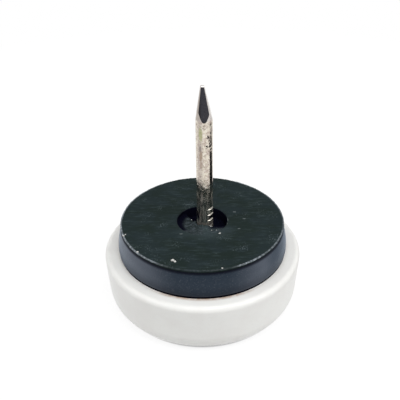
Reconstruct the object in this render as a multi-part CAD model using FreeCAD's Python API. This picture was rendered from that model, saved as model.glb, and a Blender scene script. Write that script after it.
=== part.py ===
import FreeCAD, Part
import math
import os

from FreeCAD import Vector

# Nail-on furniture glide, in millimetres, with +Z up along the nail.
# The origin is the centre of the sole's flat bottom, which slides on the floor.
# A hard plastic sole holds a rubber cushion, and the cushion holds a nail by its head.
# The nail is driven into the end of a chair or table leg until the leg sits on the cushion.

# Sole: a shallow plastic cup
SOLE_RADIUS = 14.05         # where the side would meet the rim; the round takes it to 14.0
SOLE_HEIGHT = 8.75          # bottom to rim
SIDE_DRAFT = 4.0            # degrees; the side narrows towards the bottom
SOLE_CORNER = 3.4           # round between the side and the bottom
RIM_WIDTH = 2.26            # flat ring round the cushion
RIM_CORNER = 0.75           # round on the rim's outer edge
RIM_INNER_BEVEL = 0.12
CUP_DEPTH = 4.25            # rim down to the cup's floor
POST_RADIUS = 3.6           # post in the cup that takes the hammer blow from the nail

# Cushion: a rubber plug pressed into the cup
CUSHION_GAP = 0.08          # between the cushion and the cup's wall, all round
CUSHION_STAND = 4.35        # how far it stands above the sole's rim
CUSHION_SWELL = 0.16        # how far its side swells past the cup, halfway up
CUSHION_TAPER = 0.16        # how much narrower it is at the top
FOOT_BEVEL = 0.38           # lead-in that lets the cushion start into the cup
TOP_BEVEL = 0.1
LIP_HEIGHT = 0.36           # thin raised line round the top edge, left by the mould
LIP_STEP = 0.07
BEAD_PROUD = 0.35           # ridge that snaps into a groove in the cup's wall
BEAD_HEIGHT = 0.9
BEAD_RISE = 1.4             # cup floor up to the middle of the bead
BEAD_GAP = 0.04             # between the bead and its groove, above and below

# Well: the round recess that the nail comes out of
WELL_RADIUS = 3.55
WELL_DEPTH = 1.15
WELL_BEVEL = 0.1
WEB_THICKNESS = 2.6         # rubber over the nail's head
COLLAR_WIDTH = 0.8          # rubber drawn up round the shank
COLLAR_CREST = 0.2
COLLAR_HEIGHT = 0.3

# Nail
NAIL_RADIUS = 1.15
NAIL_PROJECTION = 20.65     # cushion's top face to the nail's tip
NAIL_OFF_CENTRE = 0.4       # the rubber lets the nail stand a little to one side, +X
NAIL_GAP = 0.03             # between the shank and its hole in the rubber
NECK_LENGTH = 3.0           # under the head, where the struck wire swells a little
NECK_FLARE = 0.1
HEAD_RADIUS = 2.75
HEAD_THICKNESS = 1.0
HEAD_BEVEL = 0.2
HEAD_GAP = 0.08             # round the head, in its pocket
POINT_LENGTH = 4.8          # the four ground facets
TIP_HALF_WIDTH = 0.26       # the tip is blunt
TIP_OFF_CENTRE = -0.2       # the facets aren't ground equally, so the tip is off the axis

# Gripper marks: rows of nicks from the dies that held the wire while its head was struck
MARK_PITCH = 0.9
MARK_COUNT = 4
MARK_START = 2.4            # cushion's top face up to the last mark
MARK_DEPTH = 0.13
MARK_UPPER_FLANK = 0.33
MARK_LOWER_FLANK = 0.13     # short and steep, so that each nick catches the light from above
MARK_TURN = 50.0            # degrees from the front, -Y, towards +X
DIE_RADIUS = 1.9            # curve of the die's teeth, so each nick runs out at its ends

# Shares that keep a corner inside its wall, and a cutter past what it cuts
CORNER_SHARE = 0.45
OVERRUN = 1.2

# Places that follow from the sizes
cup_radius = SOLE_RADIUS - RIM_WIDTH
cup_floor = SOLE_HEIGHT - CUP_DEPTH
cushion_radius = cup_radius - CUSHION_GAP
cushion_top = SOLE_HEIGHT + CUSHION_STAND
well_floor = cushion_top - WELL_DEPTH
head_top = well_floor - WEB_THICKNESS
neck_top = head_top + NECK_LENGTH
post_top = head_top - HEAD_THICKNESS
nail_tip = cushion_top + NAIL_PROJECTION
bead_middle = cup_floor + BEAD_RISE
AXIS = Vector(0, 0, 0)
UP = Vector(0, 0, 1)
nail_axis = Vector(NAIL_OFF_CENTRE, 0, 0)


def limited(size, wall):
    """A corner no larger than its wall can carry."""
    return min(size, CORNER_SHARE * wall)


def sharp(x, z):
    return "sharp", Vector(x, 0, z), 0


def bevelled(x, z, size):
    return "bevelled", Vector(x, 0, z), size


def rounded(x, z, radius):
    return "rounded", Vector(x, 0, z), radius


def swelling(x, z):
    """A point that the arc between its two neighbours goes through."""
    return "swelling", Vector(x, 0, z), 0


def corner_edges(before, corner, after):
    """The first and last points of a corner, and the edge between them."""
    kind, point, size = corner
    if kind == "sharp":
        return point, point, []
    back = (before[1] - point).normalize()
    ahead = (after[1] - point).normalize()
    if kind == "bevelled":
        start, end = point + back * size, point + ahead * size
        return start, end, [Part.LineSegment(start, end).toShape()]
    half_angle = back.getAngle(ahead) / 2
    reach = size / math.tan(half_angle)
    start, end = point + back * reach, point + ahead * reach
    inward = (back + ahead).normalize()
    nearest = point + inward * (size / math.sin(half_angle) - size)
    return start, end, [Part.Arc(start, nearest, end).toShape()]


def turned(profile):
    """Solid of revolution about Z from a closed profile of corners in the XZ plane."""
    count = len(profile)
    corners = [None if profile[i][0] == "swelling" else
               corner_edges(profile[i - 1], profile[i], profile[(i + 1) % count]) for i in range(count)]
    edges = []
    for i, corner in enumerate(corners):
        following = corners[(i + 1) % count]
        if corner is None:
            edges.append(Part.Arc(corners[i - 1][1], profile[i][1], following[0]).toShape())
            continue
        edges += corner[2]
        if following is not None:
            edges.append(Part.LineSegment(corner[1], following[0]).toShape())
    return Part.Face(Part.Wire(edges)).revolve(AXIS, UP, 360)


def cylinder(radius, low, high, axis=AXIS):
    return Part.makeCylinder(radius, high - low, Vector(axis.x, axis.y, low), UP)


def bead_profile(wall, gap):
    """The bead's four corners, from the bottom up; the groove has the same ones, a gap larger."""
    half = BEAD_HEIGHT / 2 + gap
    flank = limited(BEAD_PROUD, BEAD_HEIGHT)
    return [
        sharp(wall, bead_middle - half),
        sharp(wall + BEAD_PROUD, bead_middle - half + flank),
        sharp(wall + BEAD_PROUD, bead_middle + half - flank),
        sharp(wall, bead_middle + half),
    ]


def make_sole():
    foot_radius = SOLE_RADIUS - SOLE_HEIGHT * math.tan(math.radians(SIDE_DRAFT))
    profile = [
        sharp(0, 0),
        rounded(foot_radius, 0, limited(SOLE_CORNER, SOLE_HEIGHT)),
        rounded(SOLE_RADIUS, SOLE_HEIGHT, limited(RIM_CORNER, RIM_WIDTH)),
        bevelled(cup_radius, SOLE_HEIGHT, limited(RIM_INNER_BEVEL, RIM_WIDTH)),
    ]
    profile += reversed(bead_profile(cup_radius, BEAD_GAP))
    profile += [
        sharp(cup_radius, cup_floor),
        sharp(POST_RADIUS, cup_floor),
        sharp(POST_RADIUS, post_top),
        sharp(0, post_top),
    ]
    return turned(profile)


def make_cushion():
    pocket_radius = POST_RADIUS + CUSHION_GAP
    top_radius = cushion_radius - CUSHION_TAPER
    lip_bottom = cushion_top - LIP_HEIGHT
    profile = [
        sharp(0, post_top),
        sharp(pocket_radius, post_top),
        sharp(pocket_radius, cup_floor),
        bevelled(cushion_radius, cup_floor, limited(FOOT_BEVEL, BEAD_RISE - BEAD_HEIGHT / 2)),
    ]
    profile += bead_profile(cushion_radius, 0)
    profile += [
        sharp(cushion_radius, SOLE_HEIGHT),
        swelling(cushion_radius + CUSHION_SWELL, SOLE_HEIGHT + CUSHION_STAND / 2),
        sharp(top_radius - LIP_STEP, lip_bottom),
        sharp(top_radius, lip_bottom + LIP_STEP),
        bevelled(top_radius, cushion_top, limited(TOP_BEVEL, LIP_HEIGHT)),
        bevelled(WELL_RADIUS, cushion_top, limited(WELL_BEVEL, WELL_DEPTH)),
        sharp(WELL_RADIUS, well_floor),
        sharp(0, well_floor),
    ]
    hole_radius = NAIL_RADIUS + NAIL_GAP
    collar = Part.makeCone(hole_radius + COLLAR_WIDTH, hole_radius + COLLAR_CREST, COLLAR_HEIGHT,
                           Vector(nail_axis.x, nail_axis.y, well_floor), UP)
    shank_hole = cylinder(hole_radius, post_top, nail_tip, nail_axis)
    neck_hole = Part.makeCone(hole_radius + NECK_FLARE, hole_radius, NECK_LENGTH,
                              Vector(nail_axis.x, nail_axis.y, head_top), UP)
    head_pocket = cylinder(HEAD_RADIUS + HEAD_GAP, cup_floor, head_top, nail_axis)
    return turned(profile).fuse(collar).removeSplitter().cut([shank_hole, neck_hole, head_pocket])


def make_point():
    """The shank's end, ground to four facets that face front, back, left and right."""
    slope = (NAIL_RADIUS - TIP_HALF_WIDTH) / POINT_LENGTH
    base = nail_tip - OVERRUN * POINT_LENGTH
    squares = []
    for height in (base, nail_tip):
        below_tip = nail_tip - height
        half = TIP_HALF_WIDTH + slope * below_tip
        middle = TIP_OFF_CENTRE * (1 - below_tip / POINT_LENGTH)
        left, right = middle - half, middle + half
        loop = [Vector(left, -half, height), Vector(right, -half, height),
                Vector(right, half, height), Vector(left, half, height)]
        squares.append(Part.makePolygon(loop + loop[:1]))
    wedge = Part.makeLoft(squares, True, True)
    return wedge.common(cylinder(NAIL_RADIUS, base, nail_tip))


def gripper_nick(height, side):
    """The tooth of a curved die that bites the shank from one side, +1 or -1."""
    # The tooth is deep enough to come out of the swollen neck too
    bite = OVERRUN * (1 + NECK_FLARE / MARK_DEPTH)
    crest = Vector(DIE_RADIUS, 0, height)
    tooth = Part.makePolygon([
        crest,
        crest + Vector(MARK_DEPTH, 0, -MARK_LOWER_FLANK) * bite,
        crest + Vector(MARK_DEPTH, 0, MARK_UPPER_FLANK) * bite,
        crest,
    ])
    ring = Part.Face(tooth).revolve(AXIS, UP, 360)
    # The crest reaches MARK_DEPTH under the surface where the die meets the shank
    ring.translate(Vector(NAIL_RADIUS - MARK_DEPTH - DIE_RADIUS, 0, 0))
    ring.rotate(AXIS, UP, MARK_TURN - side * 90)
    return ring


def make_nail():
    point = make_point()
    point_base = point.BoundBox.ZMin
    head_bevel = limited(HEAD_BEVEL, HEAD_THICKNESS)
    blank = turned([
        sharp(0, post_top),
        bevelled(HEAD_RADIUS, post_top, head_bevel),
        bevelled(HEAD_RADIUS, head_top, head_bevel),
        sharp(NAIL_RADIUS + NECK_FLARE, head_top),
        sharp(NAIL_RADIUS, neck_top),
        sharp(NAIL_RADIUS, point_base),
        sharp(0, point_base),
    ])
    nicks = []
    for index in range(MARK_COUNT):
        height = cushion_top + MARK_START - index * MARK_PITCH
        nicks += [gripper_nick(height, 1), gripper_nick(height, -1)]
    nail = blank.fuse(point).removeSplitter().cut(nicks)
    nail.translate(nail_axis)
    return nail


def main():
    os.makedirs("parts", exist_ok=True)
    pieces = {"sole": make_sole(), "cushion": make_cushion(), "nail": make_nail()}
    for name, shape in pieces.items():
        solid = shape.Solids[0]
        solid.exportStep("parts/" + name + ".step")
        print(name, "valid" if solid.isValid() else "INVALID", "of", len(shape.Solids), "solid",
              "volume %.1f" % solid.Volume, "z %.2f to %.2f" % (solid.BoundBox.ZMin, solid.BoundBox.ZMax))


main()
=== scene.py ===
# %% [markdown]
# # A nail-on furniture glide
#
# This lesson dresses a small object of three pieces: a white plastic sole, a black rubber cushion
# and a steel nail. Their places and sizes are already fixed in a model that this script loads, so
# the work here is only about looks: fine shapes that catch the light, and good materials.
#
# Blender counts in metres. +Z is up along the nail, and the side at -Y faces the camera. Drawings
# of such small things are in millimetres, so one value, MM, turns those into metres.

# %% Load the fixed model
import math
import bmesh
import bpy
import numpy as np
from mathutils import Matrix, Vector, noise


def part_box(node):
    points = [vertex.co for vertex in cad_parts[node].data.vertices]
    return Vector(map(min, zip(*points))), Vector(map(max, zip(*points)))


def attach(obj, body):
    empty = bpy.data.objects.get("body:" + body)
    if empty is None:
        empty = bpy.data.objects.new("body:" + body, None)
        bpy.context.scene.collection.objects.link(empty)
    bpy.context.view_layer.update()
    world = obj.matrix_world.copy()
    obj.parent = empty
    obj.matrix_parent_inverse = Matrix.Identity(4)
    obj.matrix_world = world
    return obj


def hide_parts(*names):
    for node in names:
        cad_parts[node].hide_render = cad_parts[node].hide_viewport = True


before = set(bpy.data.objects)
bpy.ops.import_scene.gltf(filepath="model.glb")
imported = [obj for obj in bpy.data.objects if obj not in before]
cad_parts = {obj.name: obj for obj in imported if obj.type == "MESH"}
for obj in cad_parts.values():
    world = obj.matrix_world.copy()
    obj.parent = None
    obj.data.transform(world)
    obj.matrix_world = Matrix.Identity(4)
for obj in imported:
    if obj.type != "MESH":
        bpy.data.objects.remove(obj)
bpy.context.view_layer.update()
MM = 0.001
FRONT = Vector((0, -1, 0))
UP = Vector((0, 0, 1))
print("pieces in the model:", sorted(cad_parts))


# %% Read the main heights from the model
def high_point(node):
    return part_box(node)[1] / MM


rim_height = high_point("sole").z
cushion_top = high_point("cushion").z
nail_tip = high_point("nail").z
nail_low, nail_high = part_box("nail")
nail_centre = (nail_low.x + nail_high.x) / 2 / MM
print("rim %.2f, cushion %.2f, tip %.2f mm" % (rim_height, cushion_top, nail_tip))

# %% [markdown]
# ## The camera
#
# The object was photographed from close by, so its perspective is strong, and the right distance
# matters as much as the right angle. The camera is placed by four plain facts: the point it looks
# at, how far away it is, how far above the horizon, and its small tilt. Depth of field stays off.

# %% Place the camera
LOOK_AT = Vector((-0.26, 0, 16.49)) * MM
CAMERA_DISTANCE = 104 * MM
CAMERA_ELEVATION = math.radians(33.22)
CAMERA_TILT = math.radians(-0.74)
LENS = 67.3
SENSOR_WIDTH = 36

camera_data = bpy.data.cameras.new("camera")
camera_data.lens = LENS
camera_data.sensor_width = SENSOR_WIDTH
camera_data.clip_start = 1 * MM
camera = bpy.data.objects.new("camera", camera_data)
bpy.context.scene.collection.objects.link(camera)
bpy.context.scene.camera = camera
backward = FRONT * math.cos(CAMERA_ELEVATION) + UP * math.sin(CAMERA_ELEVATION)
camera.location = LOOK_AT + backward * CAMERA_DISTANCE
camera.rotation_euler = backward.to_track_quat("Z", "Y").to_euler()
camera.rotation_euler.rotate_axis("Z", CAMERA_TILT)
print("camera at", [round(value / MM, 1) for value in camera.location], "mm")

# %% [markdown]
# ## Arithmetic for materials
#
# A material's pattern is arithmetic on sockets: add two noises, keep what is above a limit, use
# that as a mask. Written node by node it is long and hard to read. So one small class wraps a
# socket and lets ordinary operators make the nodes. A vector socket gets Vector Math nodes, since
# a plain Math node would keep only one number of it.
#
# A second class holds the whole node tree, the recipe, and has one method that adds any other
# node. Everything after that is short functions with plain names.


# %% A socket that can be added and multiplied
class Layer:
    """One socket of a recipe, for use in expressions."""

    def __init__(self, recipe, socket):
        self.recipe = recipe
        self.socket = socket

    def work(self, operation, first, second):
        """Add the Math or Vector Math node for one operation."""
        terms, kind = [first, second], "ShaderNodeMath"
        if any(isinstance(term, Layer) and term.socket.type == "VECTOR" for term in terms):
            terms = [(term,) * 3 if isinstance(term, (int, float)) else term for term in terms]
            kind = "ShaderNodeVectorMath"
        return self.recipe.node(kind, {"operation": operation}, {0: terms[0], 1: terms[1]})

    def __add__(self, other):
        return self.work("ADD", self, other)

    def __radd__(self, other):
        return self.work("ADD", other, self)

    def __sub__(self, other):
        return self.work("SUBTRACT", self, other)

    def __rsub__(self, other):
        return self.work("SUBTRACT", other, self)

    def __mul__(self, other):
        return self.work("MULTIPLY", self, other)

    def __rmul__(self, other):
        return self.work("MULTIPLY", other, self)


# %% A recipe: one node tree, and one way to add a node
class Recipe:
    """The node tree of a material or the world."""

    def __init__(self, owner):
        owner.use_nodes = True
        self.owner = owner
        self.tree = owner.node_tree
        self.tree.nodes.clear()

    def node(self, kind, settings=None, sockets=None, output=0):
        """Add any node. A socket gets a plain value, or a link from the layer that feeds it."""
        made = self.tree.nodes.new(kind)
        for name, value in (settings or {}).items():
            setattr(made, name, value)
        for name, value in (sockets or {}).items():
            if isinstance(value, Layer):
                self.tree.links.new(value.socket, made.inputs[name])
            else:
                made.inputs[name].default_value = value
        return Layer(self, made.outputs[output]) if len(made.outputs) else None

    def place(self):
        """Where a point of the surface is, in millimetres."""
        return self.node("ShaderNodeTexCoord", output="Object") * (1 / MM)

    def finish(self, shader):
        """Join the last shader to the output, and hand back the material or the world."""
        kind = "ShaderNodeOutputWorld" if isinstance(self.owner, bpy.types.World) \
            else "ShaderNodeOutputMaterial"
        self.node(kind, None, {"Surface": shader})
        return self.owner


def new_material(name):
    return Recipe(bpy.data.materials.new(name))


# %% Where a point is, and noise at that point
def part_of(vector, axis):
    """One of a vector's three numbers, which are called X, Y and Z."""
    return vector.recipe.node("ShaderNodeSeparateXYZ", None, {0: vector}, axis)


def length(vector):
    return vector.recipe.node("ShaderNodeVectorMath", {"operation": "LENGTH"}, {0: vector}, "Value")


def from_middle(place):
    """How far a point is from the upright line through the sole's middle."""
    return length(place * (1, 1, 0))


def grain(place, size, detail=2.0, ragged=0.5):
    """Cloudy noise from 0 to 1, whose lumps are about so many millimetres."""
    sockets = {"Vector": place, "Scale": 1 / size, "Detail": detail, "Roughness": ragged}
    return place.recipe.node("ShaderNodeTexNoise", None, sockets)


# %% Masks, which are 1 where something shows and 0 where it doesn't
BORDER_LUMPS = 0.25


def rises(value, start, end):
    """0 before start, 1 after end, and smooth between them."""
    sockets = {"Value": value, "From Min": start, "From Max": end}
    return value.recipe.node("ShaderNodeMapRange", {"interpolation_type": "SMOOTHSTEP"}, sockets)


def falls(value, start, end):
    """1 before start, 0 after end, and smooth between them."""
    return 1 - rises(value, start, end)


def biggest(first, *others):
    """At each point, the highest of some masks."""
    for other in others:
        first = other.recipe.node("ShaderNodeMath", {"operation": "MAXIMUM"}, {0: first, 1: other})
    return first


def spot(place, middle, size, stretch=(1, 1, 1)):
    """1 at a point and 0 so many millimetres away, with a ragged border."""
    ragged = (grain(place, BORDER_LUMPS, detail=3) - 0.5) * size
    return falls(length((place - middle) * stretch) + ragged, 0.5 * size, 0.9 * size)


# %% Colours, relief and surfaces
def colour_of(red, green, blue):
    """A colour as a screen shows it, 0 to 255, turned into the linear values that shaders use."""
    shown = [value / 255 for value in (red, green, blue)]
    linear = [v / 12.92 if v <= 0.04045 else ((v + 0.055) / 1.055) ** 2.4 for v in shown]
    return tuple(linear) + (1.0,)


def tint(colour, other, mask, strength=1):
    """A colour that goes over to the other one where the mask is 1, by that strength."""
    sockets = {0: mask * strength, 6: colour, 7: other}
    return mask.recipe.node("ShaderNodeMix", {"data_type": "RGBA"}, sockets, 2)


def relief(height, depth):
    """A bumpy normal from a height of 0 to 1 that stands for depth millimetres."""
    sockets = {"Height": height, "Distance": depth * MM, "Strength": 1.0}
    return height.recipe.node("ShaderNodeBump", None, sockets)


def skin(colour, rough, bumps, others=None):
    """An ordinary surface. The others are any further sockets, such as Metallic."""
    sockets = {"Base Color": colour, "Roughness": rough, "Normal": bumps} | (others or {})
    return bumps.recipe.node("ShaderNodeBsdfPrincipled", None, sockets)


def mix_shaders(share, first, second):
    return share.recipe.node("ShaderNodeMixShader", None, {0: share, 1: first, 2: second})


print("white paper is", [round(value, 3) for value in colour_of(230, 230, 228)])

# %% [markdown]
# ## Floor, backdrop and light
#
# The object stands on white, as in a catalogue. For the light that falls on the object, the floor
# is pale and matt. For the camera and for reflections it is darker but glows, so that it shows as
# white without more light on the object, while the object's faint shadow stays. No light reaches
# the gap under the rounded foot, so the glow stops there, and a thin dark line remains.
#
# The disc is small on purpose. Beyond its front edge the room is dim, and the flat facet of the
# nail's point reflects just that dim room: this is what makes the facet dark beside a bright shank.
#
# A small dark card lies to the right. Photographers put one beside shiny metal, because its narrow
# dark stripe shows that the metal is round. Here it is only a patch of the floor that reflections
# see and the camera doesn't.
#
# Three large soft lamps give the object its form. The one on the right is stronger than the one on
# the left, so the plastic is a little darker on the left.

# %% Lay the floor
FLOOR_RADIUS = 112 * MM
FLOOR_SIDES = 128
FLOOR_DROP = 0.02 * MM
# The light meets pale paper. What is seen is darker paper that glows.
FLOOR_PAPER = colour_of(204, 204, 204)
FLOOR_SHOWN = (0.18, 0.18, 0.18, 1)
FLOOR_GLOW = 0.86
NEARLY_BLACK = colour_of(20, 22, 26)
# The gap under the foot ends between these distances from the middle, in millimetres
GAP_END = (11.4, 12.1)
GAP_STRENGTH = 0.9
# Each edge of the dark card is soft between two places on the floor, in millimetres
CARD_LEFT, CARD_RIGHT = (21, 25), (50, 58)
CARD_FRONT, CARD_BACK = (-13, -9), (20, 26)


def ray_is(recipe, kind):
    """1 for one kind of ray and 0 for every other."""
    return recipe.node("ShaderNodeLightPath", output="Is %s Ray" % kind)


def seen_directly(recipe):
    """1 for what the camera, a mirror or glass sees, and 0 for the light that falls on things."""
    return biggest(*[ray_is(recipe, kind) for kind in ("Camera", "Glossy", "Transmission")])


def matt(recipe, colour):
    return recipe.node("ShaderNodeBsdfDiffuse", None, {"Color": colour})


def floor_white():
    recipe = new_material("floor_white")
    place = recipe.place()
    across, behind = part_of(place, "X"), part_of(place, "Y")
    card = rises(across, *CARD_LEFT) * falls(across, *CARD_RIGHT) \
        * rises(behind, *CARD_FRONT) * falls(behind, *CARD_BACK)
    gap = falls(from_middle(place), *GAP_END) * GAP_STRENGTH
    black = matt(recipe, NEARLY_BLACK)
    glow = recipe.node("ShaderNodeEmission", None, {"Strength": FLOOR_GLOW})
    shown = recipe.node("ShaderNodeAddShader", None, {0: matt(recipe, FLOOR_SHOWN), 1: glow})
    shown = mix_shaders(card * ray_is(recipe, "Glossy"), shown, black)
    shown = mix_shaders(gap, shown, black)
    return recipe.finish(mix_shaders(seen_directly(recipe), matt(recipe, FLOOR_PAPER), shown))


bpy.ops.mesh.primitive_circle_add(vertices=FLOOR_SIDES, radius=FLOOR_RADIUS, fill_type="NGON",
                                  location=(0, 0, -FLOOR_DROP))
floor = bpy.context.object
floor.name = "floor"
floor.data.materials.append(floor_white())
print("floor %.0f mm across" % (2 * FLOOR_RADIUS / MM))

# %% The room: white all round, dim behind the camera and low down
ROOM_LIGHT = 0.42
ROOM_DIM = 0.088
WHITE = (1, 1, 1, 1)
DUSK = (0.77, 0.81, 1, 1)
# The dim part starts softly, by how far a direction points to the front and how far up
DIM_FRONT = (0.25, 0.75)
DIM_BELOW = (0.08, 0.45)


def backdrop(recipe, colour, strength):
    return recipe.node("ShaderNodeBackground", None, {"Color": colour, "Strength": strength})


def white_room():
    recipe = Recipe(bpy.data.worlds.new("white_room"))
    toward = recipe.node("ShaderNodeTexCoord", output="Generated")
    dim = rises(part_of(toward, "Y") * -1, *DIM_FRONT) * falls(part_of(toward, "Z"), *DIM_BELOW)
    white, dusk = backdrop(recipe, WHITE, 1.0), backdrop(recipe, DUSK, ROOM_DIM)
    shown = mix_shaders(dim * ray_is(recipe, "Glossy"), white, dusk)
    soft = backdrop(recipe, WHITE, ROOM_LIGHT)
    return recipe.finish(mix_shaders(seen_directly(recipe), soft, shown))


bpy.context.scene.world = white_room()
print("room lit at", ROOM_LIGHT)

# %% Soft lamps: one above and one at each side
LAMP_DISTANCE = 300 * MM
LAMP_AIM = Vector((0, 0, 10)) * MM
LAMPS = [
    # (name, turn from the front towards +X and rise, in degrees, width in millimetres, level)
    ("lamp_above", 8, 68, 160, 0.35),
    ("lamp_right", 65, 38, 200, 0.4),
    ("lamp_left", -70, 35, 200, 0.26),
]


def soft_lamp(name, turn, rise, width, level):
    """A square lamp aimed at the object. Its level is the brightness that it gives white paper."""
    data = bpy.data.lights.new(name, "AREA")
    data.shape = "SQUARE"
    data.size = width * MM
    data.energy = level * (math.pi * LAMP_DISTANCE) ** 2
    lamp = bpy.data.objects.new(name, data)
    bpy.context.scene.collection.objects.link(lamp)
    turn, rise = math.radians(turn), math.radians(rise)
    sideways = Vector((math.sin(turn), -math.cos(turn), 0))
    outward = sideways * math.cos(rise) + UP * math.sin(rise)
    lamp.location = LAMP_AIM + outward * LAMP_DISTANCE
    lamp.rotation_euler = outward.to_track_quat("Z", "Y").to_euler()


for lamp_row in LAMPS:
    soft_lamp(*lamp_row)

# %% [markdown]
# ## Turned shapes
#
# All three pieces are round: each is an outline turned about an upright axis. A modifier could turn
# them, but then nothing could vary round the piece. Here the outline becomes rows of points,
# and each row is a ring. Every ring can then be pushed by small amounts, so that the torn
# rubber, the worn edge and the nail's nicks are real shapes and not only painted ones.

# %% Turn the corners of an outline into arcs
ARC_STEP = 0.22    # the turn between two points of an arc, in radians


def direction(start, end):
    run = end - start
    return run / math.hypot(*run)


def arc_round(before, corner, after, radius):
    """The points of an arc that rounds a corner."""
    back, ahead = direction(corner, before), direction(corner, after)
    half = math.acos(np.clip(back @ ahead, -1, 1)) / 2
    start = corner + back * radius / math.tan(half)
    end = corner + ahead * radius / math.tan(half)
    centre = corner + direction(np.zeros(2), back + ahead) * radius / math.sin(half)
    turn = math.pi - 2 * half
    share = np.linspace(0, 1, max(3, round(turn / ARC_STEP)))[:, None]
    blend = np.sin((1 - share) * turn) * (start - centre) + np.sin(share * turn) * (end - centre)
    return centre + blend / math.sin(turn)


def outline_points(corners, closed):
    """Corners are (radius, height, rounding, step); step spaces the points up to the next one."""
    points = np.array([corner[:2] for corner in corners], float)
    count = len(corners)
    pieces = []
    for index, (_, _, rounding, _) in enumerate(corners):
        if rounding:
            pieces.append(arc_round(points[index - 1], points[index], points[(index + 1) % count],
                                    rounding))
        else:
            pieces.append(points[index:index + 1])
    rows = []
    for index in range(count if closed else count - 1):
        rows.append(pieces[index])
        start, end = pieces[index][-1], pieces[(index + 1) % count][0]
        steps = max(1, round(math.dist(start, end) / corners[index][3]))
        rows.append(start + (end - start) * (np.arange(1, steps) / steps)[:, None])
    if not closed:
        rows.append(pieces[-1])
    return np.concatenate(rows)


# %% Turn rows of points into a mesh
def ring_angles(around):
    """One row with the angle of each point round a ring."""
    return np.arange(around)[None, :] * 2 * math.pi / around


def ring_points(radius, height, angle, slide=0.0):
    """A grid of points, with a row for each ring and a column for each angle."""
    x, y = radius * np.cos(angle) + slide, radius * np.sin(angle)
    return np.stack(np.broadcast_arrays(x, y, height), axis=2)


def turned_piece(name, grid, closed):
    """grid holds one ring of points a row. An open outline gets a single point at each end."""
    rows, around = grid.shape[:2]
    index = np.arange(rows * around).reshape(rows, around)
    following = np.roll(index, -1, axis=1)
    pairs = [(row, (row + 1) % rows) for row in range(rows if closed else rows - 1)]
    faces = []
    for low, high in pairs:
        quads = np.stack([index[low], following[low], following[high], index[high]], axis=1)
        faces += quads.tolist()
    points = grid.reshape(-1, 3).tolist()
    if not closed:
        for row, turn in ((0, -1), (rows - 1, 1)):
            points.append(grid[row].mean(axis=0).tolist())
            fan = np.stack([index[row], following[row], np.full(around, len(points) - 1)], axis=1)
            faces += fan[:, ::turn].tolist()
    mesh = bpy.data.meshes.new(name)
    mesh.from_pydata((np.array(points) * MM).tolist(), [], faces)
    mesh.shade_smooth()
    piece = bpy.data.objects.new(name, mesh)
    bpy.context.scene.collection.objects.link(piece)
    print(name, "has", len(points), "points and", sum(len(face) - 2 for face in faces), "triangles")
    return piece


# %% Smooth noise and smooth steps for shapes
def unevenness(points, size, seed):
    """Noise from about -1 to 1 with lumps of about that size. Another seed gives other lumps."""
    flat = points.reshape(-1, 3) / size + seed
    return np.array([noise.noise(point) for point in flat.tolist()]).reshape(points.shape[:-1])


def ramp(value, start, end):
    """0 up to start, 1 from end on, and smooth between them. The end may be the lower one."""
    share = np.clip((value - start) / (end - start), 0, 1)
    return share * share * (3 - 2 * share)


print("halfway up a ramp is", ramp(1.5, 1, 2))

# %% [markdown]
# ## The cushion
#
# The cushion is a moulded rubber plug. It was pressed into the sole, so its side swells a little
# above the rim. The mould left a thin raised line round the top edge, and this edge is now worn
# rough. The nail was pushed through from below, and it drew a ragged collar of rubber up round
# itself at the bottom of a shallow well.
#
# The nail's hole isn't in the middle of the plug, so the rings slide sideways as they shrink from
# the well's wall to the hole.

# %% The cushion's sizes
CUP_RADIUS = 11.71
CUP_FLOOR = 4.5
TOP_RADIUS = 11.55
SWELL = 0.34
SWELL_SKEW = 0.55    # below 1, so that the side bulges most in its lower half
SIDE_ROWS = 15
LIP_HEIGHT = 0.36
LIP_STEP = 0.07
BEAD_MIDDLE = 5.9
BEAD_PROUD = 0.35
BEAD_HALF = 0.45
BEAD_FLAT = 0.1
WELL_RADIUS = 3.55
WELL_DEPTH = 1.15
HOLE_RADIUS = 1.18
HOLE_FLARE = 0.1
COLLAR_FOOT = 1.98
COLLAR_TOP = 1.42
COLLAR_HEIGHT = 0.3
HEAD_POCKET = 2.83
HEAD_TOP = 9.35
POST_TOP = 8.35
POST_POCKET = 3.68

lip_bottom = cushion_top - LIP_HEIGHT
well_floor = cushion_top - WELL_DEPTH
hole_top = well_floor + COLLAR_HEIGHT
print("well floor at %.2f mm, raised line from %.2f mm" % (well_floor, lip_bottom))


# %% The cushion's outline
def side_swell():
    """Corners up the side, from the rim to the raised line. It bulges most just above the rim."""
    side_top = TOP_RADIUS - LIP_STEP
    corners = []
    for share in np.linspace(0, 1, SIDE_ROWS):
        skewed = share ** SWELL_SKEW
        radius = CUP_RADIUS + (side_top - CUP_RADIUS) * share + 4 * SWELL * skewed * (1 - skewed)
        corners.append((radius, rim_height + (lip_bottom - rim_height) * share, 0, 0.3))
    return corners


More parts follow.
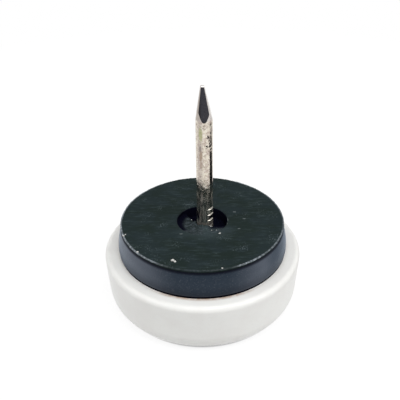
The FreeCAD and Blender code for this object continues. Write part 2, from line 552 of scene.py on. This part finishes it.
def cushion_outline():
    corners = [
        (CUP_RADIUS, CUP_FLOOR, 0.3, 0.4),
        (CUP_RADIUS, BEAD_MIDDLE - BEAD_HALF, 0, 0.3),
        (CUP_RADIUS + BEAD_PROUD, BEAD_MIDDLE - BEAD_FLAT, 0.06, 0.3),
        (CUP_RADIUS + BEAD_PROUD, BEAD_MIDDLE + BEAD_FLAT, 0.06, 0.3),
        (CUP_RADIUS, BEAD_MIDDLE + BEAD_HALF, 0, 0.4),
    ]
    corners += side_swell()
    corners += [
        (TOP_RADIUS, lip_bottom + LIP_STEP, 0.04, 0.06),
        (TOP_RADIUS, cushion_top, 0.1, 0.16),
        (WELL_RADIUS, cushion_top, 0.2, 0.1),
        (WELL_RADIUS, well_floor, 0.15, 0.07),
        (COLLAR_FOOT, well_floor, 0.1, 0.05),
        (COLLAR_TOP, hole_top, 0.05, 0.05),
        (HOLE_RADIUS, hole_top, 0.05, 0.5),
        (HOLE_RADIUS + HOLE_FLARE, HEAD_TOP, 0.05, 0.4),
        (HEAD_POCKET, HEAD_TOP, 0.05, 0.4),
        (HEAD_POCKET, POST_TOP, 0.05, 0.4),
        (POST_POCKET, POST_TOP, 0.05, 0.6),
        (POST_POCKET, CUP_FLOOR, 0.05, 0.8),
    ]
    return outline_points(corners, closed=True)


cushion_rows = cushion_outline()
print("cushion outline:", len(cushion_rows), "rows")

# %% [markdown]
# ## Wear on the rubber
#
# Worn rubber isn't random all over. Each kind of wear has its own place, so each is a noise times
# a mask: a rough corner on the raised line, slow waves on the top, lumps on the well's floor and a
# torn collar. The well is deepest behind the nail and to its right. In front of the nail the
# rubber was pushed up into a mound that nearly fills it.

# %% How deep the well is from place to place
WELL_DEEPER = 0.55
WELL_FILLED = 0.9
WELL_SLOPED = 0.5
WELL_MOUND = 0.45
WELL_SLANT = 1.6    # the line between the deep part and the mound crosses the well at a slant
TORN_BORDER = 0.14
HAIR = 0.01    # small enough to count as nothing when two sizes are compared


def well_share(x, y):
    """How deep the well is at a point, as a share of its plain depth."""
    torn = TORN_BORDER * unevenness(np.stack([x, y, 0 * x], axis=-1), 0.3, 9.3)
    behind = y + WELL_SLANT * x
    deep = 1 + WELL_DEEPER * ramp(behind, -1.2, 0.8)
    filled = 1 - WELL_FILLED * ramp(torn - y, 0.9, 1.35) * ramp(x + torn, -1.9, 0.6)
    sloped = 1 - WELL_SLOPED * ramp(y, -1.2, -3.4)
    mound = 1 - WELL_MOUND * ramp(torn - behind, 0.2, 1.8)
    return deep * filled * sloped * mound


def well_change(grid, radius, height):
    """How far each point of the well and of the hole rises or sinks from the plain outline."""
    in_hole = height < well_floor - HAIR
    below = cushion_top - np.where(in_hole, hole_top, height)
    upper_part = np.clip((height - HEAD_TOP) / (hole_top - HEAD_TOP), 0, 1)
    inside = (radius <= WELL_RADIUS + HAIR) & (height > HEAD_TOP + HAIR)
    return inside * below * np.where(in_hole, upper_part, 1) \
        * (1 - well_share(grid[:, :, 0], grid[:, :, 1]))


middle_share = well_share(np.zeros(1), np.zeros(1))[0]
print("the well's middle is %.2f mm deep" % (WELL_DEPTH * middle_share))

# %% Make the worn cushion
CUSHION_AROUND = 400
EDGE_WEAR = 0.035
TOP_WAVES = 0.012
FLOOR_LUMPS = 0.05
COLLAR_TEAR = 0.22


def off_centre(radius):
    """How far a ring slides towards the nail's axis."""
    return nail_centre * np.clip((WELL_RADIUS - radius) / (WELL_RADIUS - HEAD_POCKET), 0, 1)


def cushion_grid():
    radius, height = cushion_rows[:, :1], cushion_rows[:, 1:]
    angle = ring_angles(CUSHION_AROUND)
    grid = ring_points(radius, height, angle, off_centre(radius))
    fine, broad = unevenness(grid, 0.16, 3.1), unevenness(grid, 0.7, 8.7)

    # The corner of the raised line goes in and out
    at_edge = ramp(radius, TOP_RADIUS - 0.35, TOP_RADIUS - 0.06) \
        * ramp(height, lip_bottom, lip_bottom + 0.05)
    grid += ring_points(at_edge * EDGE_WEAR * (fine + broad), 0.0, angle)

    # All other wear goes up and down
    at_top = ramp(height, cushion_top - 0.12, cushion_top - 0.02)
    in_well = ramp(radius, WELL_RADIUS, WELL_RADIUS - 0.5) * ramp(height, HEAD_TOP + 2, well_floor)
    at_collar = ramp(radius, COLLAR_FOOT, COLLAR_TOP) * ramp(height, well_floor, well_floor + 0.2)
    torn = 0.4 + unevenness(grid, 0.3, 6.4) + 0.5 * unevenness(grid, 0.9, 2.2)
    lift = at_edge * EDGE_WEAR * fine
    lift += at_top * TOP_WAVES * unevenness(grid, 2.2, 5.5)
    lift += in_well * FLOOR_LUMPS * (unevenness(grid, 0.45, 1.3) + broad)
    lift += at_collar * COLLAR_TEAR * torn
    lift += well_change(grid, radius, height)
    grid[:, :, 2] += lift
    return grid


cushion_points = cushion_grid()
cushion = turned_piece("rubber_cushion", cushion_points, closed=True)
print("cushion is %.2f mm thick" % (cushion.dimensions.z / MM))

# %% [markdown]
# ## Crumbs on the cushion
#
# A few pale crumbs, smaller than a grain of sugar, lie on the rubber. They are little lumps with
# uneven sides, all in one mesh. Each stands in the rubber by a third, so none hangs above it.

# %% Crumbs
CRUMBS = [
    # (x, y, size)
    (-3.95, -9.25, 0.2),
    (-3.65, -9.5, 0.16),
    (2.4, -3.3, 0.12),
    (-10.85, -3.6, 0.13),
    (-10.62, -3.3, 0.09),
    (2.5, -11.0, 0.1),
    (-8.7, -7.3, 0.14),
    (1.2, -1.5, 0.08),
    (1.38, -1.45, 0.05),
    (1.75, -1.25, 0.07),
    (1.5, -1.02, 0.05),
    (1.95, -2.35, 0.05),
    (1.3, -2.3, 0.05),
    (-1.5, 1.2, 0.08),
]
# All of these are shares of a crumb's size
CRUMB_LUMPS = 0.45
CRUMB_WIDTH = 1.15
CRUMB_HEIGHT = 0.7
CRUMB_RAISED = 0.25


def rubber_height(x, y):
    """The height of the rubber's upper surface, from its nearest point."""
    points = cushion_points.reshape(-1, 3)
    points = points[points[:, 2] > hole_top]
    return points[np.hypot(points[:, 0] - x, points[:, 1] - y).argmin(), 2]


def crumb_mesh():
    bm = bmesh.new()
    for x, y, size in CRUMBS:
        middle = Vector((x, y, rubber_height(x, y) + CRUMB_RAISED * size))
        seed = Vector((x, y, 0)) * 7
        for vert in bmesh.ops.create_icosphere(bm, subdivisions=2, radius=size)["verts"]:
            lumps = 1 + CRUMB_LUMPS * noise.noise(vert.co / size * 1.4 + seed)
            flat = Vector((vert.co.x * CRUMB_WIDTH, vert.co.y, vert.co.z * CRUMB_HEIGHT))
            vert.co = (flat * lumps + middle) * MM
    mesh = bpy.data.meshes.new("pale_crumbs")
    bm.to_mesh(mesh)
    bm.free()
    mesh.shade_smooth()
    return mesh


crumbs = bpy.data.objects.new("pale_crumbs", crumb_mesh())
bpy.context.scene.collection.objects.link(crumbs)
print("crumbs:", len(CRUMBS), "with", len(crumbs.data.polygons), "triangles")

# %% [markdown]
# ## The nail
#
# The nail is drawn wire with a struck head, and its point is ground to four facets. Where the
# dies held the wire, they left a row of curved nicks on two sides. Their lower flanks catch the
# light as thin bright crescents. A few pits lie near the point, on the right.
#
# A ring of the nail is a circle, and in the point it is limited by a square whose corners are cut
# a little blunt. Each nick is the hollow that a curved tooth leaves in the wire, and a formula
# gives its depth at every angle and height.

# %% The nail's sizes
NAIL_RADIUS = 1.15
HEAD_RADIUS = 2.75
NECK_TOP = 12.35
POINT_LENGTH = 4.8
TIP_HALF = 0.26
TIP_OFF_CENTRE = -0.2
TIP_BEVEL = 0.05
TIP_SHARE = 0.85
FAN_SHARE = 0.3    # the flat ends are rings out to here, and a fan of triangles inside
RIDGE_SHARE = 0.12
NICK_PITCH = 0.9
NICK_COUNT = 4
NICK_START = 2.4
NICK_DEPTH = 0.13
NICK_UPPER = 0.33
NICK_LOWER = 0.08
NICK_TURN = math.radians(-40)
DIE_RADIUS = 1.9

point_foot = nail_tip - POINT_LENGTH
nick_heights = [cushion_top + NICK_START - index * NICK_PITCH for index in range(NICK_COUNT)]
top_nick, lowest_nick = nick_heights[0], nick_heights[-1]
print("nicks at", [round(height, 2) for height in nick_heights])


# %% The nail's outline, and what cuts into it
def nail_rows():
    """Rows from the face of the head, which stands on the post, up to the tip."""
    corners = [
        (HEAD_RADIUS * FAN_SHARE, POST_TOP, 0, 0.5),
        (HEAD_RADIUS, POST_TOP, 0.2, 0.3),
        (HEAD_RADIUS, HEAD_TOP, 0.2, 0.3),
        (NAIL_RADIUS + HOLE_FLARE, HEAD_TOP, 0.05, 0.5),
        (NAIL_RADIUS, NECK_TOP, 0, 0.04),
        (NAIL_RADIUS, top_nick + 1.2 * NICK_UPPER, 0, 0.075),
        (NAIL_RADIUS, point_foot, 0, 0.05),
        (NAIL_RADIUS, nail_tip - TIP_BEVEL, 0, 0.05),
        (NAIL_RADIUS * TIP_SHARE, nail_tip, 0, 0.3),
        (NAIL_RADIUS * FAN_SHARE, nail_tip, 0, 0.3),
    ]
    return outline_points(corners, closed=False)


def point_limit(angle, height):
    """Distance from the axis to the ground point's sides, with its four ridges a little blunt."""
    share = (nail_tip - height) / POINT_LENGTH
    half = TIP_HALF + (NAIL_RADIUS - TIP_HALF) * share
    side = half + TIP_OFF_CENTRE * (1 - share) * np.sign(np.cos(angle))
    across, along = np.abs(np.cos(angle)), np.abs(np.sin(angle))
    ridge = (side + half) * (1 - RIDGE_SHARE) / (across + along)
    return np.minimum(1 / np.maximum(across / side, along / half), ridge)


def nick_limit(angle, height, nick_height, turn):
    """Distance to the hollow left by a curved tooth that bit the wire from one side."""
    above, below = (height - nick_height) / NICK_UPPER, (nick_height - height) / NICK_LOWER
    tooth = DIE_RADIUS + NICK_DEPTH * np.maximum(above, below)
    centre = NAIL_RADIUS - NICK_DEPTH - DIE_RADIUS
    inside = np.maximum(tooth ** 2 - (centre * np.sin(angle - turn)) ** 2, 0)
    return centre * np.cos(angle - turn) + np.sqrt(inside)


print("the ground point starts at %.2f mm" % point_foot)

# %% Small pits in the steel
PITS = [
    # (turn from the front towards +X in degrees, height, radius, depth)
    (30, 26.75, 0.24, 0.11),
    (24, 27.05, 0.13, 0.07),
    (35, 26.35, 0.15, 0.08),
    (17, 25.50, 0.20, 0.12),
    (44, 25.45, 0.28, 0.12),
    (38, 25.85, 0.16, 0.08),
    (50, 24.90, 0.18, 0.07),
]


def on_wire(turn, height):
    """The point of the wire's surface at that turn and height."""
    angle = math.radians(turn)
    return NAIL_RADIUS * math.sin(angle) + nail_centre, -NAIL_RADIUS * math.cos(angle), height


def pitting(points):
    """How far the surface sinks in the pits."""
    sink = 0.0
    for turn, height, size, depth in PITS:
        gap = np.linalg.norm(points - on_wire(turn, height), axis=2)
        sink = sink + depth * ramp(gap, size, 0.3 * size)
    return sink


print("pits:", len(PITS))

# %% Make the nail
NAIL_AROUND = 192
STEEL_WAVES = 0.006


def nail_radius(nominal, height, angle):
    """The distance from the axis at each point, after the grinding and the nicks."""
    share = np.minimum(nominal / NAIL_RADIUS, 1)
    ground = share * np.minimum(NAIL_RADIUS, point_limit(angle, height))
    radius = np.where(height > point_foot, ground, nominal)
    for nick_height in nick_heights:
        for turn in (NICK_TURN, NICK_TURN + math.pi):
            bitten = np.minimum(radius, nick_limit(angle, height, nick_height, turn))
            radius = np.where(height > HEAD_TOP, bitten, radius)
    return radius


def nail_grid():
    rows = nail_rows()
    nominal, height = rows[:, :1], rows[:, 1:]
    angle = ring_angles(NAIL_AROUND)
    grid = ring_points(nail_radius(nominal, height, angle), height, angle)
    on_side = (height > NECK_TOP) & (nominal > NAIL_RADIUS - HAIR)
    sink = pitting(grid + (nail_centre, 0, 0)) + STEEL_WAVES * unevenness(grid, 0.5, 4.2)
    grid -= ring_points(on_side * sink, 0.0, angle)
    grid[:, :, 0] += nail_centre
    return grid


nail = turned_piece("steel_nail", nail_grid(), closed=False)
print("nail is %.2f mm long" % (nail.dimensions.z / MM))

# %% [markdown]
# ## The white plastic
#
# The sole is hard moulded plastic, a slightly warm white with a satin skin. Its shape in the model
# is right as it stands, so it only needs a finish: faint clouds in the colour, a fine grain that
# softens its reflections, and a thin tan line where the rubber meets the rim. The tan line is
# thickest in front, and at the sides a painted highlight makes the rim's inner edge bright.

# %% White plastic
PLASTIC = colour_of(241, 241, 238)
PLASTIC_CLOUDS = colour_of(238, 237, 234)
PLASTIC_FLECKS = colour_of(230, 228, 224)
SEAM_TAN = colour_of(176, 152, 134)
PAINTED_EDGE_HIGHLIGHT = colour_of(252, 252, 250)
PLASTIC_GLOSS = {"IOR": 1.5, "Specular IOR Level": 0.4}
# The tan front part of the seam fades out between these two places, in millimetres along Y
TAN_LINE_END = (-11.5, -9.3)
TAN_LINE_AT_SIDE = 0.15


def white_plastic():
    recipe = new_material("white_plastic")
    place = recipe.place()
    radius, height = from_middle(place), part_of(place, "Z")
    clouds = grain(place, 3.5, detail=3)
    white = tint(PLASTIC, PLASTIC_CLOUDS, rises(clouds, 0.38, 0.7))
    white = tint(white, PLASTIC_FLECKS, rises(grain(place, 0.5), 0.55, 0.75), 0.2)

    in_front = falls(part_of(place, "Y"), *TAN_LINE_END)
    seam = falls(radius, CUP_RADIUS + 0.15, CUP_RADIUS + 0.85) \
        * rises(height, rim_height - 0.4, rim_height - 0.1)
    uneven = rises(grain(place, 0.8, detail=3), 0.1, 0.6)
    # A thin tan line along the seam, thickest in front.
    tan_seam = seam * uneven * (TAN_LINE_AT_SIDE + (1 - TAN_LINE_AT_SIDE) * in_front)
    # Painted highlight: a bright line on the rim's inner edge, at the sides only.
    edge = seam * falls(radius, CUP_RADIUS + 0.25, CUP_RADIUS + 0.4) * (1 - in_front)
    white = tint(white, SEAM_TAN, tan_seam)
    white = tint(white, PAINTED_EDGE_HIGHLIGHT, edge)

    rough = 0.29 + 0.05 * grain(place, 1.2, detail=3)
    bumps = relief(grain(place, 0.35, detail=3) + 2 * clouds, 0.0025)
    return recipe.finish(skin(white, rough, bumps, PLASTIC_GLOSS))


plastic = white_plastic()
print(plastic.name, "has", len(plastic.node_tree.nodes), "nodes")

# %% [markdown]
# ## The black rubber
#
# Seen from above the rubber is matt and slightly green, with faint streaks across it and pale
# dust in its pores. Its side was pressed against a smooth mould, so it is a little glossier and
# bluish, and a painted sheen lightens it to the left and the right. The raised edge is worn, which
# shows as a broken pale line that is partly wear and partly a painted highlight. Painted shade
# darkens the step under that line, the seam at the rim and the side just above it, and makes the
# deep part of the well nearly black.
#
# So the material is three skins, for the top, the side and the painted shade, and masks by height
# and by distance from the middle share them out.

# %% The rubber's top
GREENISH_BLACK = colour_of(29, 39, 37)
BLUISH_BLACK = colour_of(34, 44, 46)
STREAK_GREY = colour_of(64, 76, 79)
PORE_DUST = colour_of(88, 99, 102)
PALE_PATCH = colour_of(76, 88, 92)
SCUFF_AND_GLINT_GREY = colour_of(120, 128, 130)
LIP_SHADE = colour_of(24, 32, 32)
WEAR_AND_HIGHLIGHT_GREY = colour_of(168, 176, 184)
TORN_GREY = colour_of(84, 92, 99)
PATCH_MIDDLE = (0.5, -2.8, cushion_top)    # in front of the nail
RUNS_ACROSS, GLINT_RUNS_BACK = (0.6, 1.2, 1), (1.9, 0.4, 1)
SCUFFS_AND_GLINTS = [
    # (x, y, size, stretch)
    (4.65, 1.95, 0.22, RUNS_ACROSS),
    (6.0, 0.2, 0.2, RUNS_ACROSS),
    (5.1, -2.2, 0.18, RUNS_ACROSS),
    (-2.9, -3.3, 0.2, RUNS_ACROSS),
    # The last two are painted highlights: glints on the well's right edge.
    (3.62, 0.1, 0.22, GLINT_RUNS_BACK),
    (3.5, -0.75, 0.2, (1.6, 0.4, 1)),
]


def flat_colour(place, clouds):
    """Greenish black with bluish patches, streaks that run across, dust, scuffs and painted glints.
    """
    streaks = grain(place * (0.22, 1, 1), 0.36, detail=4, ragged=0.65)
    dust = grain(place * (1, 0.5, 1), 0.16, detail=3, ragged=0.6) * grain(place, 2.6)
    patch = length((place - PATCH_MIDDLE) * (0.6, 1.1, 1))
    top = tint(GREENISH_BLACK, BLUISH_BLACK, rises(clouds, 0.35, 0.65))
    top = tint(top, STREAK_GREY, rises(streaks, 0.48, 0.76), 0.45)
    top = tint(top, PORE_DUST, rises(dust, 0.32, 0.45), 0.5)
    top = tint(top, PALE_PATCH, falls(patch, 0.3, 3), 0.3)
    for x, y, size, stretch in SCUFFS_AND_GLINTS:
        top = tint(top, SCUFF_AND_GLINT_GREY, spot(place, (x, y, cushion_top), size, stretch), 0.5)
    return top


def wear_and_highlight_line(place, radius, height):
    """The worn corner of the raised line, with a painted highlight: bright at the sides, faint at
    the front.
    """
    across = part_of(place, "X")
    near = rises(radius, TOP_RADIUS - 0.26, TOP_RADIUS - 0.14) \
        * rises(height, cushion_top - 0.14, cushion_top - 0.07)
    broken = 0.35 + 0.65 * rises(grain(place, 0.5, detail=4, ragged=0.7), 0.42, 0.6)
    # Painted highlight: the pale line is strongest to the left and the right.
    on_left = falls(across, -7.2, -4.4)
    on_right = rises(across, 3.8, 5.4) * (1 - 0.5 * rises(across, 6.6, 8.4))
    return near * broken * (0.1 + 0.9 * biggest(on_left, on_right))


def top_colour(place, clouds, radius, height, in_well):
    """The flat top, with the raised line at its edge and the torn floor of the well."""
    torn = rises(grain(place * (0.6, 1, 1), 0.3, detail=4, ragged=0.7), 0.46, 0.62)
    sunk = in_well * falls(height, cushion_top - 0.12, cushion_top - 0.02)
    top = flat_colour(place, clouds)
    top = tint(top, LIP_SHADE, falls(height, cushion_top - 0.14, cushion_top - 0.08), 0.5)
    top = tint(top, WEAR_AND_HIGHLIGHT_GREY, wear_and_highlight_line(place, radius, height), 0.8)
    return tint(top, TORN_GREY, sunk * (0.05 + 0.5 * torn))


print("scuffs:", len(SCUFFS_AND_GLINTS))

# %% The rubber's side and its dark places
SIDE_BLACK = colour_of(14, 30, 44)
SIDE_BLUE = colour_of(24, 38, 52)
PAINTED_SIDE_SHEEN = colour_of(78, 84, 95)
SIDE_FLECKS = colour_of(82, 86, 94)
PAINTED_SHADE_BLACK = colour_of(8, 9, 23)
# How strongly painted shade darkens the step and the low part of the side
STEP_STRENGTH = 0.88
SHADE_STRENGTH = 0.5


def side_colour(place, clouds, fine):
    """Bluish black in front, with a painted sheen that lightens it to the left and the right."""
    across = part_of(place, "X")
    beside = across.recipe.node("ShaderNodeMath", {"operation": "ABSOLUTE"}, {0: across})
    # Painted sheen: the side is lighter to the left and the right.
    painted_sheen = rises(beside, 3.2, 8.6) * falls(beside, 10.4, 11.9) * falls(across, 8.0, 10.2)
    side = tint(SIDE_BLACK, SIDE_BLUE, clouds)
    side = tint(side, PAINTED_SIDE_SHEEN, painted_sheen * (0.5 + 0.5 * clouds))
    return tint(side, SIDE_FLECKS, rises(fine, 0.52, 0.7), 0.35)


def side_shade(height, in_well):
    """Painted shade: the dark step under the raised line, a dark line at the seam with the rim, and
    soft shade above the seam.
    """
    step = rises(height, lip_bottom - 0.55, lip_bottom - 0.12) \
        * falls(height, lip_bottom + 0.04, lip_bottom + 0.1) * (1 - in_well)
    seam = falls(height, rim_height + 0.26, rim_height + 0.48)
    shade = falls(height, rim_height + 0.2, rim_height + 2.2)
    return biggest(seam, step * STEP_STRENGTH, shade * SHADE_STRENGTH)


def well_shade(place, radius, fine, in_well):
    """Painted shade on the well's deep part and its wall, but not on the mound in front of the
    nail.
    """
    across, behind, height = (part_of(place, axis) for axis in "XYZ")
    deep_part = rises(across * WELL_SLANT + behind, -1.4, 0.0)
    at_wall = rises(radius, 2.3, 3.0) * rises(behind, -2.3, -1.4)
    under_edge = falls(height, cushion_top - 0.14, cushion_top - 0.03)
    past_mound = rises(behind + 0.25 * fine, -2.1, -1.4)
    return in_well * biggest(deep_part, at_wall) * under_edge * past_mound


print("the seam's dark line ends at %.2f mm" % (rim_height + 0.48))

# %% Black rubber
SHEEN_BLUE = colour_of(205, 220, 240)


def rubber_skin(colour, rough, bumps, gloss, sheen=0.0):
    return skin(colour, rough, bumps, {
        "IOR": 1.5, "Specular IOR Level": gloss,
        "Sheen Weight": sheen, "Sheen Roughness": 0.45, "Sheen Tint": SHEEN_BLUE})


def black_rubber():
    recipe = new_material("black_rubber")
    place = recipe.place()
    radius, height = from_middle(place), part_of(place, "Z")
    clouds = grain(place * (0.6, 1, 1), 1.8, detail=3)
    fine = grain(place, 0.22, detail=4, ragged=0.6)
    in_well = falls(radius, WELL_RADIUS + 0.12, WELL_RADIUS + 0.3)
    on_top = biggest(rises(height, lip_bottom - 0.06, lip_bottom), in_well)
    # Painted shade: these places get the nearly black skin.
    dark = biggest(side_shade(height, in_well), well_shade(place, radius, fine, in_well))

    top = top_colour(place, clouds, radius, height, in_well)
    top_skin = rubber_skin(top, 0.62 + 0.1 * clouds, relief(fine, 0.03), gloss=0.04)
    side = side_colour(place, clouds, fine)
    side_skin = rubber_skin(side, 0.38 + 0.1 * fine, relief(fine, 0.02), gloss=0.2, sheen=0.6)
    painted_shade_skin = rubber_skin(PAINTED_SHADE_BLACK, 0.8, relief(fine, 0.05), gloss=0.02)
    return recipe.finish(mix_shaders(dark, mix_shaders(on_top, side_skin, top_skin), painted_shade_skin))


rubber = black_rubber()
print(rubber.name, "has", len(rubber.node_tree.nodes), "nodes")

# %% [markdown]
# ## The steel
#
# The wire is bright but not polished: it is finely pitted, and small patches are duller or a
# little yellow. Near the rubber a grey film runs down it in streaks, and where it goes into the
# rubber it is nearly black with dirt. Most of what the eye sees on it is reflection, so the colour
# stays plain, and the roughness and the fine relief do the work.

# %% The wire's colour
STEEL_LIGHT = colour_of(224, 216, 199)
STEEL_DULL = colour_of(189, 174, 163)
SPECK_DARK = colour_of(134, 122, 114)
SPECK_BRIGHT = colour_of(238, 234, 228)
STEEL_LOW = colour_of(140, 150, 152)
FILM_GREY = colour_of(140, 142, 134)
PAINTED_REFLECTION_GREY = colour_of(164, 154, 148)
POINT_STEEL = colour_of(212, 208, 208)
BEVEL_GREY = colour_of(150, 138, 126)
RUST = colour_of(40, 34, 32)
STAIN_STRETCH = (1.1, 1.1, 0.32)
STAINS = [
    # (turn from the front towards +X in degrees, height, size, colour as a screen shows it)
    (-25.5, 27.3, 0.44, (150, 156, 100)),
    (-30, 25.2, 0.26, (120, 112, 110)),
    (-25, 24.0, 0.34, (136, 110, 88)),
    (-24, 22.7, 0.28, (150, 130, 116)),
]


def mottled_steel(patches, specks):
    """Light and dull patches, with dark and bright specks."""
    steel = tint(STEEL_LIGHT, STEEL_DULL, rises(patches, 0.38, 0.66))
    steel = tint(steel, SPECK_DARK, rises(specks, 0.54, 0.64), 0.8)
    return tint(steel, SPECK_BRIGHT, falls(specks, 0.34, 0.46), 0.7)


def shank_colour(place, steel, low, film):
    """The mottled steel, greyer near the rubber, with a painted dark reflection as a stripe on the
    left, and stains.
    """
    across = part_of(place, "X")
    # Painted reflection: a dull stripe on the left of the shank.
    stripe = rises(across, nail_centre - 0.95, nail_centre - 0.8) \
        * falls(across, nail_centre - 0.45, nail_centre - 0.1)
    steel = tint(steel, STEEL_LOW, low, 0.35)
    steel = tint(steel, FILM_GREY, film, 0.8)
    steel = tint(steel, PAINTED_REFLECTION_GREY, stripe, 0.45)
    for turn, height, size, colour in STAINS:
        stain = spot(place, on_wire(turn, height), size, STAIN_STRETCH)
        steel = tint(steel, colour_of(*colour), stain, 0.58)
    return steel


def rust_mask(place, height):
    """Rust in the pits, and dirt where the wire goes into the rubber."""
    in_pits = [spot(place, on_wire(turn, pit_height), 1.1 * size)
               for turn, pit_height, size, _ in PITS]
    return biggest(*in_pits, falls(height, lowest_nick, lowest_nick + 0.85) * 0.85)


print("stains:", len(STAINS))


# %% Bright wire
def bright_wire():
    recipe = new_material("bright_wire")
    place = recipe.place()
    across, height = part_of(place, "X"), part_of(place, "Z")
    patches = grain(place, 0.6, detail=4, ragged=0.6)
    specks = grain(place, 0.21, detail=3, ragged=0.65)
    streaks = grain(place * (1, 1, 0.14), 0.3, detail=3, ragged=0.6)
    on_shank = falls(height, point_foot, point_foot + 0.5)
    low = falls(height, top_nick + 1.2, top_nick + 2.7)
    worked = low * rises(height, top_nick - 0.5, top_nick + 1.6)
    film = rises(streaks, 0.46, 0.66) * falls(height, top_nick + 2.0, top_nick + 3.3)
    rust = rust_mask(place, height)

    steel = shank_colour(place, mottled_steel(patches, specks), low, film)
    steel = tint(POINT_STEEL, steel, 0.35 + 0.65 * on_shank)
    left_bevel = falls(across, nail_centre - 0.6, nail_centre - 0.3) * (1 - on_shank)
    steel = tint(steel, BEVEL_GREY, left_bevel, 0.6)
    steel = tint(steel, RUST, rust)

    rough = 0.06 + 0.08 * rises(patches, 0.35, 0.7) + 0.03 * specks + 0.1 * worked
    grinding = grain(place * (1, 1, 5), 0.3, detail=3, ragged=0.6)
    bumps = relief((specks + patches) * on_shank * (0.4 + worked) + 0.15 * grinding, 0.02)
    metal = 1 - biggest(rust, film * 0.45)
    return recipe.finish(skin(steel, biggest(rough, rust * 0.6), bumps, {"Metallic": metal}))


wire = bright_wire()
print(wire.name, "has", len(wire.node_tree.nodes), "nodes")

# %% Pale crumbs
DUST_WHITE = colour_of(236, 234, 228)
DUST_GREY = colour_of(170, 172, 172)


def pale_dust():
    recipe = new_material("pale_dust")
    place = recipe.place()
    dust = tint(DUST_WHITE, DUST_GREY, grain(place, 0.2, detail=3))
    bumps = relief(grain(place, 0.1, detail=3), 0.02)
    return recipe.finish(skin(dust, 0.85, bumps))


# %% Give each piece its finish
for material_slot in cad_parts["sole"].material_slots:
    material_slot.material = plastic
for piece, material in ((cushion, rubber), (nail, wire), (crumbs, pale_dust())):
    piece.data.materials.append(material)
print("finishes:", sorted(material.name for material in bpy.data.materials))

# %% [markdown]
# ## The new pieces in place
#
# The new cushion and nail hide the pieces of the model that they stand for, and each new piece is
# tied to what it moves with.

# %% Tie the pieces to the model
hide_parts("cushion")
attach(cushion, "root")
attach(crumbs, "root")
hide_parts("nail")
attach(nail, "root")

bpy.context.scene.view_settings.view_transform = "Standard"
